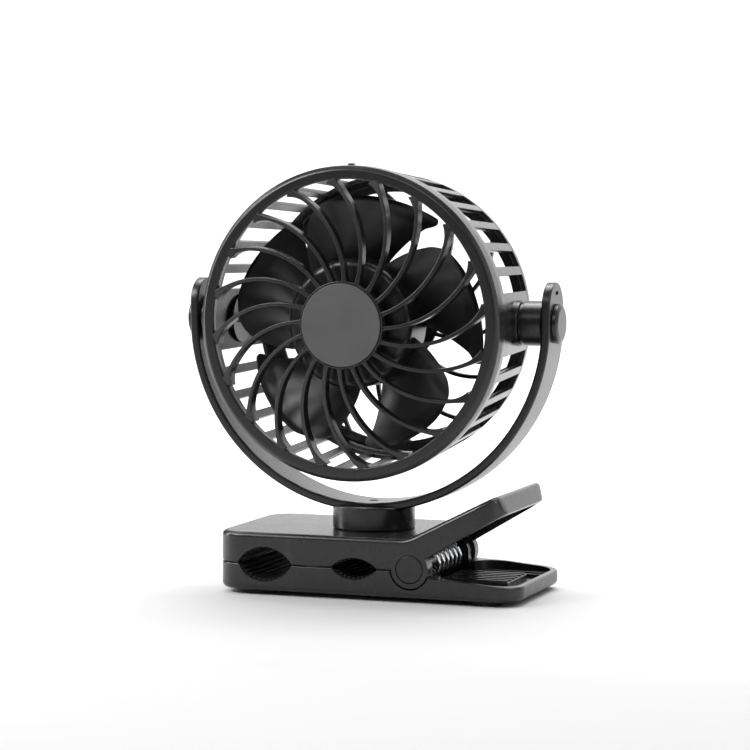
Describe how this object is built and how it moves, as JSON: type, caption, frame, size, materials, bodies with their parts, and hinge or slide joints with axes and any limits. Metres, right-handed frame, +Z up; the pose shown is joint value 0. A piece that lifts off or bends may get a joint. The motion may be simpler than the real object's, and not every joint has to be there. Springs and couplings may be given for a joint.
{
  "type": "clip-on desk fan",
  "caption": "Small round fan in a swivelling U-shaped yoke on a sprung clip base, with a spiral grille, a slatted drum housing and two oval gripping grooves.",
  "frame": {"origin": "middle of the footprint of the whole fan's bounding box, on the table that the feet stand on", "axes": "+Z up, the fan blows towards -Y, +X towards the squeeze handle"},
  "size_m": [0.2024, 0.0928, 0.221],
  "materials": {
    "black_plastic": "satin moulded",
    "hub_plastic": "fine matte texture",
    "blade_plastic": "satin moulded",
    "rubber": "matte",
    "spring_steel": "bright",
    "steel": "satin",
    "nylon": "matte",
    "battery_foil": "satin",
    "board_green": "satin",
    "button_plastic": "satin",
    "led_lens": "gloss"
  },
  "bodies": {
    "base": {"lower_jaw": "black_plastic", "base_plate": "black_plastic", "lower_pad_large": "rubber", "lower_pad_small": "rubber", "hinge_pin": "steel", "torsion_spring": "spring_steel", "hinge_cap_front": "black_plastic", "hinge_cap_back": "black_plastic", "rubber_foot_1": "rubber", "rubber_foot_2": "rubber", "rubber_foot_3": "rubber", "rubber_foot_4": "rubber"},
    "upper_clip": {"upper_jaw": "black_plastic", "upper_jaw_cover": "black_plastic", "upper_pad_large": "rubber", "upper_pad_small": "rubber", "led_lens": "led_lens", "control_board": "board_green", "usb_socket": "steel", "battery_cell_front": "battery_foil", "battery_cell_back": "battery_foil"},
    "button": {"power_button": "button_plastic"},
    "yoke": {"yoke_frame": "black_plastic", "pivot_spacer_left": "black_plastic", "pivot_spacer_right": "black_plastic", "tilt_screw_left": "steel", "tilt_screw_right": "steel", "yoke_cap_left": "black_plastic", "yoke_cap_right": "black_plastic", "swivel_column": "black_plastic", "swivel_glide_ring": "nylon", "swivel_washer": "steel", "swivel_screw": "steel"},
    "head": {"front_grille": "black_plastic", "hub_cap": "hub_plastic", "rear_housing": "black_plastic", "motor_can": "steel", "motor_end_cap": "nylon", "motor_bearing": "steel"},
    "rotor": {"impeller": "blade_plastic", "motor_shaft": "steel", "motor_armature": "steel", "impeller_nut": "steel"}
  },
  "joints": [
    {"name": "clip_open", "type": "hinge", "parent": "base", "child": "upper_clip", "pos_m": [0.0339, 0.0032, 0.0172], "axis": [0, 1, 0], "range_deg": [0, 25], "stiffness_Nm_per_rad": 1.2, "springref_deg": -28.65, "deforming": ["torsion_spring"]},
    {"name": "power_press", "type": "slide", "parent": "upper_clip", "child": "button", "axis": [0, -1, 0], "range_m": [0, 0.001], "stiffness_N_per_m": 800},
    {"name": "swivel", "type": "hinge", "parent": "upper_clip", "child": "yoke", "pos_m": [0, 0.0032, 0.04], "axis": [0, 0, 1], "range_deg": [-180, 180]},
    {"name": "head_tilt", "type": "hinge", "parent": "yoke", "child": "head", "pos_m": [0, 0.0032, 0.14], "axis": [1, 0, 0], "range_deg": [-180, 180]},
    {"name": "fan_spin", "type": "hinge", "parent": "head", "child": "rotor", "pos_m": [0, 0.0032, 0.14], "axis": [0, -1, 0], "continuous": true}
  ]
}
